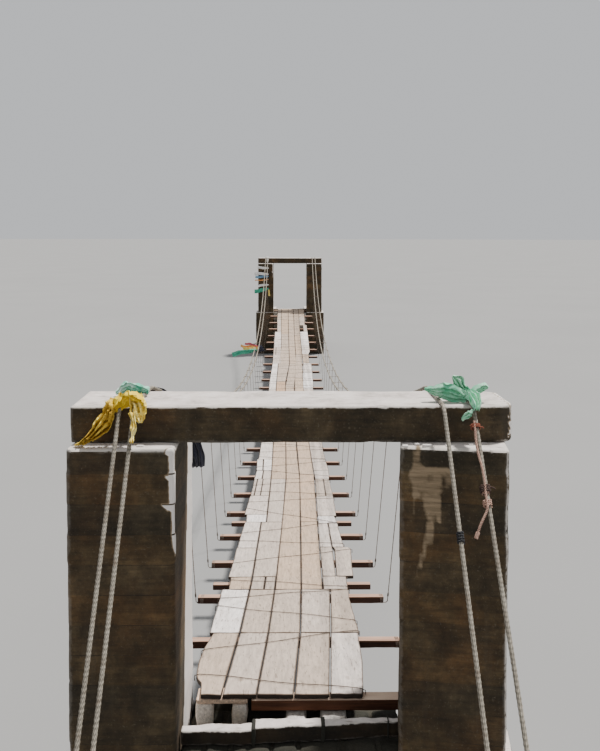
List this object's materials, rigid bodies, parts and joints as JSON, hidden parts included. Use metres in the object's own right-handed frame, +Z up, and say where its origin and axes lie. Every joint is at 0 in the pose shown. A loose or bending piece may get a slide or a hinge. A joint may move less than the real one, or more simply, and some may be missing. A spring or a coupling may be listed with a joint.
{
  "type": "wire-rope suspension footbridge",
  "caption": "Narrow plank footbridge hung from wire ropes that pass over two concrete portals and run down to anchor blocks.",
  "frame": {"origin": "middle of the bridge, below mid-span, on the level of the lowest ground that the piers stand on", "axes": "+Y along the walkway from the near portal to the far portal, +X to the right, +Z up"},
  "size_m": [3.104, 36.365, 4.372],
  "materials": {
    "concrete": "board-marked weathered concrete, worn pale edges",
    "masonry": "rough pale stone",
    "planks": "weathered grey timber",
    "bearers": "weathered reddish brown timber",
    "rope": "dull twisted wire rope",
    "cloth_yellow": "thin faded cloth",
    "cloth_green": "thin faded cloth",
    "cloth_mint": "thin faded cloth",
    "cloth_navy": "thin dark cloth",
    "flags": "small thin flags in several colours",
    "tie_rope": "twisted fibre rope"
  },
  "bodies": {
    "root": {"near_left_pier": "concrete", "near_right_pier": "concrete", "near_lintel": "concrete", "near_sill": "concrete", "near_abutment": "masonry", "far_left_pier": "concrete", "far_right_pier": "concrete", "far_lintel": "concrete", "far_sill": "concrete", "far_abutment": "masonry", "near_left_anchor": "concrete", "near_right_anchor": "concrete", "far_left_anchor": "concrete", "far_right_anchor": "concrete", "near_seat_stones": "masonry", "near_cross_beam": "bearers", "far_cross_beam": "bearers", "bearer_01": "bearers", "bearer_02": "bearers", "bearer_03": "bearers", "bearer_04": "bearers", "bearer_05": "bearers", "bearer_06": "bearers", "bearer_07": "bearers", "bearer_08": "bearers", "bearer_09": "bearers", "bearer_10": "bearers", "bearer_11": "bearers", "bearer_12": "bearers", "deck_course_01": "planks", "deck_course_02": "planks", "deck_course_03": "planks", "deck_course_04": "planks", "deck_course_05": "planks", "deck_course_06": "planks", "deck_course_07": "planks", "deck_course_08": "planks", "deck_course_09": "planks", "deck_course_10": "planks", "deck_course_11": "planks", "deck_course_12": "planks", "deck_course_13": "planks", "left_outer_rope": "rope", "left_inner_rope": "rope", "right_inner_rope": "rope", "right_outer_rope": "rope", "near_left_scarf": "cloth_yellow", "near_right_scarf": "cloth_mint", "near_left_rag": "cloth_green", "near_left_cloth": "cloth_navy", "far_left_rag": "cloth_mint", "far_left_flags": "flags", "left_rope_flags": "flags", "right_tie_rope": "tie_rope"}
  },
  "joints": []
}
